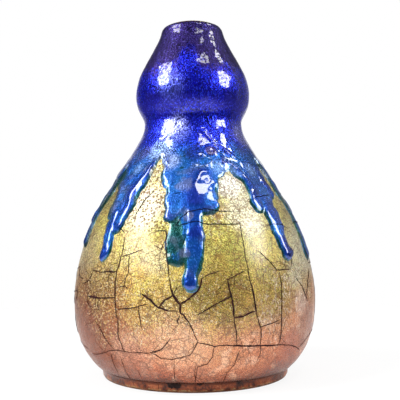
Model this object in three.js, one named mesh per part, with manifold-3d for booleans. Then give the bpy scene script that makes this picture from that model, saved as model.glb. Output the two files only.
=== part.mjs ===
// Double-gourd vase of enamelled copper, free standing, with a narrow mouth and no handles.
// A spun copper body is lined with glass inside, coated with gold and rose glass over leaf
// outside, and flooded with cobalt glass from the mouth down. The cobalt breaks into thick
// runs over the shoulder. A brazed copper ring makes the foot.
// Millimetres, +Z up. The origin is the centre of the face that the foot stands on.
import * as THREE from "three";
import { mergeVertices } from "three/addons/utils/BufferGeometryUtils.js";
import Module from "manifold-3d";

const wasm = await Module();
wasm.setup();

// Driving dimensions of the outline, which is the outer face of the gold and rose coat.
const mouthHeight = 200;
const mouthRadius = 16.3;
const lobeHeight = 159;
const lobeRadius = 32.3;
const waistHeight = 142.5;
const waistRadius = 27.4;
const bellyHeight = 42;
const bellyRadius = 68.4;
const footHeight = 5;
const footRadius = 53.9;

// Where the wall stands between one driving section and the next, as shares of the way up
// and of the way across.
const haunchShares = [[0.08, 0.22], [0.24, 0.53], [0.5, 0.82]];
const shoulderShares = [
  [0.12, 0.022], [0.27, 0.098], [0.43, 0.235], [0.6, 0.465],
  [0.76, 0.715], [0.89, 0.915], [0.955, 0.984],
];
const lobeShares = [[0.18, 0.13], [0.38, 0.47], [0.66, 0.86]];
const neckShares = [[0.12, 0.03], [0.24, 0.11], [0.41, 0.31], [0.62, 0.6], [0.82, 0.85]];

// Walls and coats.
const copperWall = 1.1;
const baseWall = 1.3;
const baseRise = 1.4;
const coatThickness = 0.7;
const cobaltThickness = 0.6;
const liningThickness = 0.5;
const undersideThickness = 0.6;
const footWall = 2.4;
const footInset = 2.1;
const footCoatThickness = 0.6;
const footBareEdge = 0.9;
const footEdgeRound = 0.4;
const filletLeg = 1.2;
const filletHollow = 0.3;
const lipBare = 0.7;
// Fired glass and metal touch on the real vase. The solids keep this gap.
const clearance = 0.3;

// The cobalt flood ends here, and its runs start a little way up under it. The longest run
// hangs this far below the flood's edge, and each other run a share of it.
const cobaltEdgeHeight = 120;
const runRise = 8;
const longestDrop = 70.2;

// A run is wide where it leaves the flood, thins to a neck and swells into a bead at its tip.
// Widths are from its middle line to its side. Relief is how far it stands off the coat.
const runKinds = {
  slim: { rootWidth: 5.5, neck: 3.5, bead: 3.7, rootRelief: 1.1, relief: 1.5 },
  full: { rootWidth: 6.5, neck: 4.4, bead: 4.5, rootRelief: 1.1, relief: 1.7 },
  heavy: { rootWidth: 8.5, neck: 5, bead: 4.6, rootRelief: 1.2, relief: 1.9 },
};
// Where a run's neck and bead come, as shares of its length from the root.
const taperFrom = 0.05;
const neckAt = 0.55;
const beadAt = 0.85;

const sides = 36;
const liningSides = sides / 2;
const outlineRows = 24;
const fineOutlineRows = 400;
const rowMargin = 1;
const steepestTangent = 0.2;
const runSides = 8;
const runRows = 9;

const copperLook = { color: 0x8a4a32, roughness: 0.45, metalness: 0.9 };
const coatLook = { color: 0xb98f45, roughness: 0.3, metalness: 0.4 };
const roseLook = { color: 0xb5705a, roughness: 0.3, metalness: 0.4 };
const cobaltLook = { color: 0x1a22b8, roughness: 0.12, metalness: 0.2 };
const runLook = { color: 0x1c4fb4, roughness: 0.08, metalness: 0.2 };
const liningLook = { color: 0x1b1b2c, roughness: 0.25, metalness: 0.0 };
const brazeLook = { color: 0xb08d57, roughness: 0.5, metalness: 0.9 };

// The outline as a smooth curve through its sections, with x the radius and y the height.
function between(low, high, shares) {
  return shares.map(([up, across]) => new THREE.Vector3(
    low.x + (high.x - low.x) * across,
    low.y + (high.y - low.y) * up,
    0,
  ));
}

function outlineCurve() {
  const foot = new THREE.Vector3(footRadius, footHeight, 0);
  const belly = new THREE.Vector3(bellyRadius, bellyHeight, 0);
  const waist = new THREE.Vector3(waistRadius, waistHeight, 0);
  const lobe = new THREE.Vector3(lobeRadius, lobeHeight, 0);
  const mouth = new THREE.Vector3(mouthRadius, mouthHeight, 0);
  return new THREE.CatmullRomCurve3([
    foot,
    ...between(foot, belly, haunchShares),
    belly,
    ...between(belly, waist, shoulderShares),
    waist,
    ...between(waist, lobe, lobeShares),
    lobe,
    ...between(lobe, mouth, neckShares),
    mouth,
  ]);
}

// Sections of the wall from foot to mouth: the height, the radius, and how much wider the
// wall measures across than through, because it leans.
function wallSections(count) {
  const outline = outlineCurve();
  return Array.from({ length: count }, (_, i) => {
    const point = outline.getPoint(i / (count - 1));
    const along = outline.getTangent(i / (count - 1));
    return { z: point.y, r: point.x, lean: Math.hypot(1, along.x / Math.max(along.y, steepestTangent)) };
  });
}
const sections = wallSections(outlineRows);
const fineSections = wallSections(fineOutlineRows);

function sectionAtHeight(z) {
  const above = Math.max(1, fineSections.findIndex((s) => s.z >= z));
  const high = fineSections[above];
  const low = fineSections[above - 1];
  const share = (z - low.z) / (high.z - low.z);
  return { z, r: low.r + (high.r - low.r) * share, lean: low.lean + (high.lean - low.lean) * share };
}

// The sections from one height to another, with a section of its own at each end.
function sectionsBetween(low, high) {
  const inside = sections.filter((s) => s.z > low + rowMargin && s.z < high - rowMargin);
  return [sectionAtHeight(low), ...inside, sectionAtHeight(high)];
}

// Points [radius, height] that follow the wall at a distance out from the outline, or in
// from it where the distance is negative.
const radiusOut = (section, distance) => section.r + distance * section.lean;
const follow = (rows, distance) => rows.map((s) => [radiusOut(s, distance), s.z]);
const followDown = (rows, distance) => follow(rows, distance).reverse();

// A solid of revolution about +Z from a closed list of [radius, height] points.
function revolve(points, segments) {
  const profile = points.map(([r, z]) => new THREE.Vector2(r, z));
  const onAxis = profile[0].x === 0 && profile[profile.length - 1].x === 0;
  if (!onAxis) profile.push(profile[0].clone());
  return new THREE.LatheGeometry(profile, segments).rotateX(Math.PI / 2);
}

// Distances out from the outline of each face in the wall.
const copperOut = -(coatThickness + clearance);
const copperIn = copperOut - copperWall;
const liningOut = copperIn - clearance;
const liningIn = liningOut - liningThickness;
const cobaltIn = clearance;
const cobaltOut = cobaltIn + cobaltThickness;

// The floor is flat near the wall and rises a little in the middle.
const floorRadius = footRadius * 0.6;
const copperFloor = footHeight + baseWall;

// The copper body: spun in one piece, with a rounded lip that stands bare above the coats.
function copperBody() {
  const shoulderOfLip = mouthHeight - copperWall / 2;
  const outer = sectionsBetween(footHeight, shoulderOfLip);
  const inner = sectionsBetween(copperFloor + copperWall, shoulderOfLip);
  const lip = outer[outer.length - 1];
  return revolve([
    [0, footHeight + baseRise],
    [floorRadius, footHeight],
    ...follow(outer, copperOut),
    [radiusOut(lip, (copperOut + copperIn) / 2), mouthHeight],
    ...followDown(inner, copperIn),
    [radiusOut(inner[0], copperIn) - copperWall, copperFloor],
    [floorRadius, copperFloor],
    [0, copperFloor + baseRise],
  ], sides);
}

// The glass lining: poured in and drained, so it covers the floor and the whole inner wall.
function glassLining() {
  const under = copperFloor + clearance;
  const wall = sectionsBetween(under + copperWall, mouthHeight - lipBare);
  return revolve([
    [0, under + baseRise],
    [floorRadius, under],
    [radiusOut(wall[0], liningOut) - copperWall, under],
    ...follow(wall, liningOut),
    ...followDown(wall, liningIn),
    [radiusOut(wall[0], liningIn) - copperWall, under + liningThickness],
    [floorRadius, under + liningThickness],
    [0, under + liningThickness + baseRise],
  ], liningSides);
}

// The gold and rose coat over leaf: it covers the wall from the foot's seam to the mouth.
function goldRoseCoat() {
  const wall = sectionsBetween(footHeight + clearance, mouthHeight - lipBare);
  return revolve([...follow(wall, 0), ...followDown(wall, -coatThickness)], sides);
}

// The cobalt flood: it lies on the first coat from the mouth down to the shoulder.
function cobaltCoat() {
  const wall = sectionsBetween(cobaltEdgeHeight, mouthHeight - lipBare - clearance);
  return revolve([...follow(wall, cobaltOut), ...followDown(wall, cobaltIn)], sides);
}

// The foot: a ring of copper bar brazed under the floor.
const ringTop = footHeight - clearance;
const ringOut = footRadius - footInset;
const ringIn = ringOut - footWall;

function footRing() {
  return revolve([
    [ringOut - footEdgeRound, 0],
    [ringOut, footEdgeRound],
    [ringOut, ringTop],
    [ringIn, ringTop],
    [ringIn, 0],
  ], sides);
}

// The rose coat goes on over the ring and leaves its lower edge bare.
function footCoat() {
  const under = ringOut + clearance;
  const over = under + footCoatThickness;
  return revolve([
    [under, footBareEdge],
    [over - footEdgeRound, footBareEdge],
    [over, footBareEdge + footEdgeRound],
    [over, ringTop],
    [under, ringTop],
  ], sides);
}

// The braze: a hollow-faced fillet in the corner between the ring and the floor.
const filletOut = ringIn - clearance;

function brazeFillet() {
  return revolve([
    [filletOut, ringTop],
    [filletOut - filletLeg, ringTop],
    [filletOut - filletLeg * filletHollow, ringTop - filletLeg * filletHollow],
    [filletOut, ringTop - filletLeg],
  ], sides);
}

// The glass under the floor, inside the ring, which keeps the base from warping in the kiln.
function undersideEnamel() {
  const edge = filletOut - filletLeg - clearance;
  const face = ringTop - undersideThickness;
  return revolve([
    [0, face + baseRise],
    [floorRadius, face],
    [edge - undersideThickness, face],
    [edge, ringTop],
    [floorRadius, ringTop],
    [0, ringTop + baseRise],
  ], sides);
}

// One run of cobalt glass, drawn out of a ball along the wall. Its underside follows the coat
// that it lies on. Angles are in degrees from the front, counted to the right. The drop is
// how far its tip hangs below the flood's edge, as a share of the longest.
const { lerp, smoothstep, degToRad } = THREE.MathUtils;

function runAt(kind, rootAngle, tipAngle, drop) {
  const { rootWidth, neck, bead, rootRelief, relief } = runKinds[kind];
  const length = drop * longestDrop + runRise;
  const ball = new THREE.SphereGeometry(1, runSides, runRows);
  const position = ball.getAttribute("position");
  for (let i = 0; i < position.count; i++) {
    const t = (1 - position.getY(i)) / 2;
    const around = Math.atan2(position.getX(i), -position.getZ(i));
    const bend = smoothstep(t, 0, 1);
    const toNeck = lerp(rootWidth, neck, smoothstep(t, taperFrom, neckAt));
    const width = lerp(toNeck, bead, smoothstep(t, neckAt, beadAt));
    const endLength = t < 0.5 ? runRise : bead;
    const fromEnd = Math.min(1, (Math.min(t, 1 - t) * length) / endLength);
    const round = Math.sqrt(1 - (1 - fromEnd) ** 2);
    const lift = Math.max(0, Math.sin(around)) * lerp(rootRelief, relief, bend) * round;
    const section = sectionAtHeight(cobaltEdgeHeight + runRise - t * length);
    const radius = radiusOut(section, clearance + lift);
    const sideways = (width * round * Math.cos(around)) / section.r;
    const angle = degToRad(lerp(rootAngle, tipAngle, bend)) + sideways;
    position.setXYZ(i, radius * Math.sin(angle), -radius * Math.cos(angle), section.z);
  }
  return solidOf(ball);
}

function solidOf(geometry) {
  const bare = geometry.clone();
  bare.deleteAttribute("normal");
  bare.deleteAttribute("uv");
  const merged = mergeVertices(bare, 1e-3);
  return new wasm.Manifold(new wasm.Mesh({
    numProp: 3,
    vertProperties: merged.attributes.position.array,
    triVerts: new Uint32Array(merged.index.array),
  }));
}

function geometryOf(solid) {
  const mesh = solid.getMesh();
  const geometry = new THREE.BufferGeometry();
  geometry.setAttribute("position", new THREE.BufferAttribute(new Float32Array(mesh.vertProperties), 3));
  geometry.setIndex(new THREE.BufferAttribute(new Uint32Array(mesh.triVerts), 1));
  return geometry;
}

// The wedge of the shoulder that one curtain of runs may fill. It stops a clearance below the
// flood's edge and half a clearance short of each neighbour's wedge.
function wedgeSolid(fromAngle, toAngle) {
  const reach = bellyRadius * 2;
  const half = degToRad((toAngle - fromAngle) / 2);
  const inset = clearance / 2 / Math.sin(half);
  const shape = new THREE.Shape([
    new THREE.Vector2(0, inset),
    new THREE.Vector2(reach * Math.sin(half), inset + reach * Math.cos(half)),
    new THREE.Vector2(-reach * Math.sin(half), inset + reach * Math.cos(half)),
  ]);
  const depth = cobaltEdgeHeight - clearance;
  const wedge = new THREE.ExtrudeGeometry(shape, { depth, bevelEnabled: false });
  return solidOf(wedge.rotateZ(Math.PI + degToRad((fromAngle + toAngle) / 2)));
}

// A curtain is the runs that flowed together between two bare places on the shoulder.
function curtain(fromAngle, toAngle, runs) {
  const together = runs.reduce((sum, run) => sum.add(run));
  return geometryOf(together.intersect(wedgeSolid(fromAngle, toAngle)));
}

const frontRuns = [
  runAt("slim", -15, -16, 0.29),
  runAt("full", -9, -11.5, 0.55),
  runAt("full", -5, -8, 0.82),
  runAt("heavy", 3, -2, 1),
  runAt("heavy", 14, 8, 0.46),
];
const rightRuns = [
  runAt("slim", 31, 36.5, 0.46),
  runAt("heavy", 43, 45.5, 0.78),
  runAt("slim", 52, 53, 0.35),
];
const farRightRuns = [
  runAt("slim", 68, 68, 0.41),
  runAt("heavy", 76, 72, 0.82),
];
const farLeftRuns = [
  runAt("heavy", 284, 287, 0.72),
  runAt("slim", 291, 291, 0.41),
];
const leftRuns = [
  runAt("full", 306, 304.5, 0.3),
  runAt("full", 313, 316.8, 0.78),
  runAt("full", 323, 322, 0.58),
];

// Behind, where the photograph shows nothing, each curtain has a long run between two shorter
// ones. They differ a little from one curtain to the next, as poured glass does.
function rearRuns(middle, longDrop, lean) {
  return [
    runAt("slim", middle - 11, middle - 12, longDrop * 0.52),
    runAt("heavy", middle, middle + lean, longDrop),
    runAt("full", middle + 11, middle + 12 + lean / 2, longDrop * 0.64),
  ];
}

const vase = new THREE.Group();

function addPiece(name, geometry, look) {
  const mesh = new THREE.Mesh(geometry, new THREE.MeshStandardMaterial(look));
  mesh.name = name;
  vase.add(mesh);
}

addPiece("copper_body", copperBody(), copperLook);
addPiece("glass_lining", glassLining(), liningLook);
addPiece("gold_rose_coat", goldRoseCoat(), coatLook);
addPiece("cobalt_coat", cobaltCoat(), cobaltLook);
addPiece("foot_ring", footRing(), copperLook);
addPiece("foot_coat", footCoat(), roseLook);
addPiece("braze_fillet", brazeFillet(), brazeLook);
addPiece("underside_enamel", undersideEnamel(), liningLook);
addPiece("front_runs", curtain(-26, 23, frontRuns), runLook);
addPiece("right_runs", curtain(23, 60.5, rightRuns), runLook);
addPiece("far_right_runs", curtain(60.5, 86, farRightRuns), runLook);
addPiece("rear_right_runs", curtain(86, 124, rearRuns(104, 0.85, 2)), runLook);
addPiece("back_right_runs", curtain(124, 162, rearRuns(142, 0.71, -2)), runLook);
addPiece("back_runs", curtain(162, 200, rearRuns(180, 0.97, 1)), runLook);
addPiece("back_left_runs", curtain(200, 238, rearRuns(218, 0.65, -1)), runLook);
addPiece("rear_left_runs", curtain(238, 276, rearRuns(256, 0.8, 1)), runLook);
addPiece("far_left_runs", curtain(276, 298, farLeftRuns), runLook);
addPiece("left_runs", curtain(298, 334, leftRuns), runLook);

export default vase;
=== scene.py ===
"""A double-gourd vase of enamelled copper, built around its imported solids.

Copper, two coats of glass and the thick cobalt runs are made in the order in which the
piece goes together. Sizes inside the script are millimetres unless they say otherwise.
Angles on the wall are degrees from the front, counted to the viewer's right.
"""

import math
import random

import bmesh
import bpy
import numpy as np
from mathutils import Matrix, Vector, noise


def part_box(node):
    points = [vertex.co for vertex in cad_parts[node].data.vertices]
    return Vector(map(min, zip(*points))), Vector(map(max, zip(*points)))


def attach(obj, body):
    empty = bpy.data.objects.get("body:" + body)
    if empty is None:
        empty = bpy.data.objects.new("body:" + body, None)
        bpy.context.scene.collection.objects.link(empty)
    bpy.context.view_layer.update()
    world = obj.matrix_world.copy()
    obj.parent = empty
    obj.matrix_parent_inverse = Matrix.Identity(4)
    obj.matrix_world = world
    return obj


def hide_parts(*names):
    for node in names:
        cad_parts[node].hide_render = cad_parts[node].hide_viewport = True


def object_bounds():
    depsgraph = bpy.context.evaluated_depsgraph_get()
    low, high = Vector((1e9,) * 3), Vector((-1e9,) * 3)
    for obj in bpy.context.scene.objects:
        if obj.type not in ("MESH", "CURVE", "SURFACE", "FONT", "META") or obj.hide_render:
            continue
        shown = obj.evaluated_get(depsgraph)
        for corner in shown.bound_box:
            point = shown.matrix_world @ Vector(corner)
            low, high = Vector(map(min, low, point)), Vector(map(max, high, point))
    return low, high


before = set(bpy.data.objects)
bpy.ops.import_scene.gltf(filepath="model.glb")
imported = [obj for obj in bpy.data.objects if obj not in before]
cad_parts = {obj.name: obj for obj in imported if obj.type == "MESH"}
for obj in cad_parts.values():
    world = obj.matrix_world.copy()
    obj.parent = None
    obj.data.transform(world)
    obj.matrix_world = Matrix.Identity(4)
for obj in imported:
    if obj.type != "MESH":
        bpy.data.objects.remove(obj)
cad_low, cad_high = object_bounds()

# Copper body
# Spun from one disc of sheet copper. It is seen only at its bare lip, where the coats stop
# short and the metal has darkened in the kiln.
MM = 0.001
coat_thickness = 0.7
layer_gap = 0.3
copper_wall = 1.1
copper_out = -(coat_thickness + layer_gap)
copper_in = copper_out - copper_wall
mouth_height = cad_high.z / MM
floor_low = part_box("copper_body")[0].z / MM
floor_thickness = 1.3
floor_rise = 1.4


# The wall's outline is read from the ground coat's solid, and smoothed between its sections.
def sections_of(node):
    widest = {}
    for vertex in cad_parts[node].data.vertices:
        x, y, z = vertex.co / MM
        widest[round(z, 1)] = max(widest.get(round(z, 1), 0.0), math.hypot(x, y))
    return np.array(sorted(widest.items())).T


section_heights, section_radii = sections_of("gold_rose_coat")
section_slopes = np.gradient(section_radii, section_heights)
coat_low, coat_high = section_heights[0], section_heights[-1]


def wall_radius(z):
    z = np.clip(z, coat_low, coat_high)
    row = np.clip(np.searchsorted(section_heights, z) - 1, 0, len(section_heights) - 2)
    span = section_heights[row + 1] - section_heights[row]
    t = (z - section_heights[row]) / span
    low = (1 + 2 * t) * (1 - t) ** 2 * section_radii[row] + t * (1 - t) ** 2 * span * section_slopes[row]
    high = t * t * (3 - 2 * t) * section_radii[row + 1] + t * t * (t - 1) * span * section_slopes[row + 1]
    return low + high


def wall_normal(z):
    """The outward and upward parts of the wall's normal."""
    lean = (wall_radius(z + 0.2) - wall_radius(z - 0.2)) / 0.4
    length = np.hypot(1, lean)
    return 1 / length, -lean / length


fine_heights = np.linspace(coat_low, coat_high, 2000)
fine_steps = np.hypot(np.diff(fine_heights), np.diff(wall_radius(fine_heights)))
fine_climb = np.concatenate([[0], np.cumsum(fine_steps)])


def climb(z):
    """The distance along the wall from the coat's lower edge."""
    return np.interp(z, fine_heights, fine_climb)


def rows_between(low, high, step):
    count = max(2, round((climb(high) - climb(low)) / step) + 1)
    return list(np.interp(np.linspace(climb(low), climb(high), count), fine_climb, fine_heights))


def offset(heights, out):
    """Profile points [radius, height] a distance out from the coat's face."""
    across, up = wall_normal(np.array(heights))
    return list(zip(wall_radius(np.array(heights)) + out * across, np.array(heights) + out * up))


def spin_profile(name, points, steps):
    """A closed turned mesh from a closed profile, or from one that starts and ends on the axis.

    An eighth of the turn is spun, and then it is copied round three times, twice as far each.
    """
    shape = bmesh.new()
    ring = [shape.verts.new((max(r, 0) * MM, 0, z * MM)) for r, z in points]
    for one, other in zip(ring, ring[1:]):
        shape.edges.new((one, other))
    if points[0][0] > 0:
        shape.edges.new((ring[-1], ring[0]))
    bmesh.ops.spin(
        shape, geom=shape.verts[:] + shape.edges[:], cent=(0, 0, 0), axis=(0, 0, 1),
        angle=math.tau / 8, steps=steps // 8, use_merge=False, use_duplicate=False,
    )
    for turn in (math.tau / 8, math.tau / 4, math.tau / 2):
        copy = bmesh.ops.duplicate(shape, geom=shape.verts[:] + shape.edges[:] + shape.faces[:])
        corners = [item for item in copy["geom"] if isinstance(item, bmesh.types.BMVert)]
        bmesh.ops.rotate(shape, verts=corners, cent=(0, 0, 0), matrix=Matrix.Rotation(turn, 3, "Z"))
    bmesh.ops.remove_doubles(shape, verts=shape.verts, dist=2e-6)
    bmesh.ops.recalc_face_normals(shape, faces=shape.faces)
    mesh = bpy.data.meshes.new(name)
    shape.to_mesh(mesh)
    shape.free()
    mesh.shade_smooth()
    return mesh


def add_piece(name, mesh, material, slot, *nodes):
    piece = bpy.data.objects.new(name, mesh)
    bpy.context.scene.collection.objects.link(piece)
    mesh.materials.append(material)
    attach(piece, "root")
    if nodes:
        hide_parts(*nodes)


def turned_piece(name, profile, steps, material, slot, *nodes):
    add_piece(name, spin_profile(name, profile, steps), material, slot, *nodes)


class Signal:
    """A socket in a material's node tree. Arithmetic on it adds Math nodes."""

    def __init__(self, tree, socket=None):
        self.tree, self.socket = tree, socket

    def node(self, kind, sockets=None, output=0, stops=None, **settings):
        node = self.tree.nodes.new(kind)
        for name, value in settings.items():
            setattr(node, name, value)
        if stops:
            ramp = node.color_ramp
            while len(ramp.elements) < len(stops):
                ramp.elements.new(1.0)
            for element, (place, colour) in zip(ramp.elements, stops):
                element.position = place
                element.color = (*colour, 1.0) if len(colour) == 3 else colour
        for name, value in (sockets or {}).items():
            if isinstance(value, Signal):
                self.tree.links.new(value.socket, node.inputs[name])
            else:
                node.inputs[name].default_value = value
        return Signal(self.tree, node.outputs[output])

    def math(self, operation, *others):
        return self.node("ShaderNodeMath", dict(enumerate((self, *others))), operation=operation)

    def __add__(self, other):
        return self.math("ADD", other)

    def __sub__(self, other):
        return self.math("SUBTRACT", other)

    def __rsub__(self, other):
        return self.node("ShaderNodeMath", {0: other, 1: self}, operation="SUBTRACT")

    def __mul__(self, other):
        return self.math("MULTIPLY", other)

    __radd__ = __add__
    __rmul__ = __mul__

    def ease(self, low, high):
        """0 below low, 1 above high, and a smooth step between."""
        return self.node(
            "ShaderNodeMapRange", {"Value": self, "From Min": low, "From Max": high},
            interpolation_type="SMOOTHSTEP",
        )

    def fade(self, low, high):
        """1 below low, 0 above high, and a smooth step between."""
        return 1 - self.ease(low, high)

    def band(self, low, full, end, high):
        """1 from full to end, and 0 below low and above high."""
        return self.ease(low, full) * self.fade(end, high)

    def ramp(self, *stops):
        return self.node("ShaderNodeValToRGB", {"Fac": self}, stops=stops)

    def mix(self, start, end):
        """The colour start where this is 0, and end where it is 1."""
        colours = {0: self, 6: start, 7: end}
        for socket in (6, 7):
            if isinstance(colours[socket], tuple):
                colours[socket] = (*colours[socket], 1.0)
        return self.node("ShaderNodeMix", colours, output=2, data_type="RGBA")

    def vector(self, operation, other=None, scale=1.0, output=0):
        """This place or colour with another, or times a scale."""
        sockets = {0: self, 3: scale}
        if other is not None:
            sockets[1] = other
        return self.node("ShaderNodeVectorMath", sockets, output=output, operation=operation)

    def part(self, axis):
        """One part of a place: 0 is x, 1 is y and 2 is z."""
        return self.node("ShaderNodeSeparateXYZ", {0: self}, output=axis)


class Finish:
    """A material in the making: its shader, its place signals and its noise."""

    def __init__(self, name, **constants):
        self.material = bpy.data.materials.new(name)
        self.material.use_nodes = True
        tree = self.material.node_tree
        self.shader = tree.nodes["Principled BSDF"]
        for socket, value in constants.items():
            self.shader.inputs[socket.replace("_", " ")].default_value = value
        self.start = Signal(tree)
        metres = self.start.node("ShaderNodeTexCoord", output=3)
        self.place = metres.vector("SCALE", scale=1 / MM)
        self.height = self.place.part(2)

    def noise(self, per_mm, detail=2.0, roughness=0.5, stretch=(1, 1, 1), distortion=0.0):
        place = self.place
        if stretch != (1, 1, 1):
            place = place.vector("MULTIPLY", stretch)
        return self.start.node("ShaderNodeTexNoise", {
            "Vector": place, "Scale": per_mm, "Detail": detail,
            "Roughness": roughness, "Distortion": distortion,
        })

    def crumple(self, per_mm):
        """A leaf's crumples: flat facets that meet in creases."""
        return self.start.node("ShaderNodeTexVoronoi", {"Vector": self.place, "Scale": per_mm})

    def dots(self, per_mm, radius):
        """Scattered round spots, 1 inside."""
        return 1 - self.crumple(per_mm).ease(radius * per_mm * 0.75, radius * per_mm)

    def craze(self, per_mm, width):
        """A net of hairlines, 1 on a line and 0 between, that wanders as glaze crazing does."""
        wander = 1.2
        push = self.start.node("ShaderNodeTexNoise", {"Vector": self.place, "Scale": 0.4}, output=1)
        place = self.place.vector("ADD", push.vector("SCALE", scale=wander))
        edge = self.start.node(
            "ShaderNodeTexVoronoi", {"Vector": place, "Scale": per_mm}, feature="DISTANCE_TO_EDGE",
        )
        return 1 - edge.ease(width * 0.3, width)

    def near(self, centre, radius, core=0.6):
        """1 near a place on the piece, and 0 beyond a radius from it, in millimetres."""
        away = self.place.vector("DISTANCE", centre, output=1)
        return 1 - away.ease(radius * core, radius)

    def set(self, socket, value):
        self.start.tree.links.new(value.socket, self.shader.inputs[socket])

    def bump(self, height, distance):
        bumped = self.start.node("ShaderNodeBump", {"Height": height, "Distance": distance * MM})
        self.set("Normal", bumped)


def oxidised_copper():
    finish = Finish("oxidised_copper", Metallic=0.9, Coat_Weight=0.15)
    patches = finish.noise(0.35, detail=4.0)
    scale = finish.noise(2.2, detail=3.0)
    finish.set("Base Color", patches.ramp((0.35, (0.09, 0.035, 0.02)), (0.65, (0.32, 0.14, 0.075))))
    finish.set("Roughness", scale * 0.3 + 0.28)
    finish.bump(scale, 0.05)
    return finish.material


copper = oxidised_copper()
lip_height = mouth_height - copper_wall / 2
wall_top = lip_height - 0.7
heel_height = floor_low + 1.0
row_step = 3.0
body_rows = rows_between(heel_height, wall_top, row_step)
inner_rows = rows_between(floor_low + floor_thickness + 1.4, wall_top, row_step)
lip_radius = float(wall_radius(lip_height)) + (copper_out + copper_in) / 2
lip_round = [
    (lip_radius + copper_wall / 2 * math.cos(turn), lip_height + copper_wall / 2 * math.sin(turn))
    for turn in np.linspace(0, math.pi, 9)
]
floor_edge = float(wall_radius(heel_height)) + copper_out
dish_edge = floor_edge * 0.62
dish_lift = 0.05


def pot_profile(floor, thickness, under, within, wall):
    """A pot's closed profile: its dished floor, its wall up and down, and its floor inside.

    The floor reaches out to the radius under, and on its inside to the radius within.
    """
    inside = floor + thickness
    return [
        (0, floor + floor_rise),
        (dish_edge, floor + dish_lift),
        (under, floor),
        *wall,
        (within, inside),
        (dish_edge, inside + dish_lift),
        (0, inside + floor_rise),
    ]


body_profile = pot_profile(floor_low, floor_thickness, floor_edge - 1.5, floor_edge - 5.0, [
    *offset(body_rows, copper_out),
    *lip_round,
    *reversed(offset(inner_rows, copper_in)),
    (floor_edge - 3.2, floor_low + floor_thickness + 0.25),
])
turned_piece("copper_vase_body", body_profile, 160, copper, "bare_copper", "copper_body")

# Glass lining
# Slip enamel poured in and drained, fired almost black-blue. It covers the floor and the
# whole inner wall, and stops just under the lip.
lining_thickness = 0.5
lining_out = copper_in - layer_gap
lining_in = lining_out - lining_thickness


def dark_enamel():
    finish = Finish("dark_enamel", Coat_Weight=1.0, Coat_Roughness=0.06)
    cloud = finish.noise(0.08, detail=4.0)
    speck = finish.noise(1.6).ease(0.66, 0.74)
    colour = cloud.ramp((0.3, (0.008, 0.008, 0.03)), (0.7, (0.022, 0.025, 0.085)))
    finish.set("Base Color", (speck * 0.5).mix(colour, (0.12, 0.12, 0.16)))
    finish.set("Roughness", cloud * 0.2 + 0.2)
    finish.bump(finish.noise(0.5), 0.12)
    return finish.material


enamel_dark = dark_enamel()
lining_top = coat_high - 0.1
lining_floor = floor_low + floor_thickness + layer_gap
lining_heel = lining_floor + 1.6
lining_rows = rows_between(lining_heel, lining_top, row_step)
lining_edge = float(wall_radius(lining_heel)) + lining_out
lining_profile = pot_profile(lining_floor, lining_thickness, lining_edge - 2.2, lining_edge - 4.4, [
    *offset(lining_rows, lining_out),
    *reversed(offset(lining_rows, lining_in)),
    (lining_edge - 2.4, lining_floor + lining_thickness + 0.3),
])
turned_piece("lining_enamel_shell", lining_profile, 128, enamel_dark, "lining_enamel", "glass_lining")

# Foot
# A ring of copper bar, brazed under the floor, dressed flat where it stands. The braze shows
# as a fillet inside it, and dark counter glass covers the floor within.
ring_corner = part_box("foot_ring")[1] / MM
ring_out = ring_corner.x
ring_top = ring_corner.z
ring_wall = 2.4
ring_in = ring_out - ring_wall
edge_round = 0.4
inner_round = 0.2


def quarter(centre_r, centre_z, radius, start, stop, count=5):
    """Points on an arc of a profile, from one angle to another in degrees."""
    return [
        (centre_r + radius * math.cos(turn), centre_z + radius * math.sin(turn))
        for turn in np.radians(np.linspace(start, stop, count))
    ]


ring_profile = [
    *quarter(ring_in + inner_round, inner_round, inner_round, 180, 270, 4),
    *quarter(ring_out - edge_round, edge_round, edge_round, 270, 360),
    (ring_out, ring_top),
    (ring_in, ring_top),
]
turned_piece("copper_foot_ring", ring_profile, 192, copper, "bare_copper", "foot_ring")


def braze_metal():
    finish = Finish("braze_metal", Metallic=0.95)
    puddle = finish.noise(0.9, detail=3.0)
    finish.set("Base Color", puddle.ramp((0.3, (0.2, 0.12, 0.045)), (0.7, (0.5, 0.36, 0.14))))
    finish.set("Roughness", puddle * 0.3 + 0.3)
    finish.bump(puddle, 0.15)
    return finish.material


fillet_leg = 1.2
fillet_out = ring_in - layer_gap
fillet_profile = [
    (fillet_out, ring_top),
    *quarter(fillet_out - fillet_leg, ring_top - fillet_leg, fillet_leg, 88, 2, 7),
]
turned_piece("braze_fillet_ring", fillet_profile, 160, braze_metal(), "braze", "braze_fillet")

underside_edge = fillet_out - fillet_leg - layer_gap
underside_thickness = 0.6
underside_face = ring_top - underside_thickness
underside_dish = underside_edge * 0.66
underside_round = 0.55
underside_profile = [
    (0, underside_face + floor_rise),
    (underside_dish, underside_face),
    *quarter(underside_edge - underside_round, ring_top - 0.02, underside_round, 270, 358),
    (underside_dish, ring_top),
    (0, ring_top + floor_rise),
]
turned_piece(
    "underside_enamel_disc", underside_profile, 144, enamel_dark, "lining_enamel", "underside_enamel",
)


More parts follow.
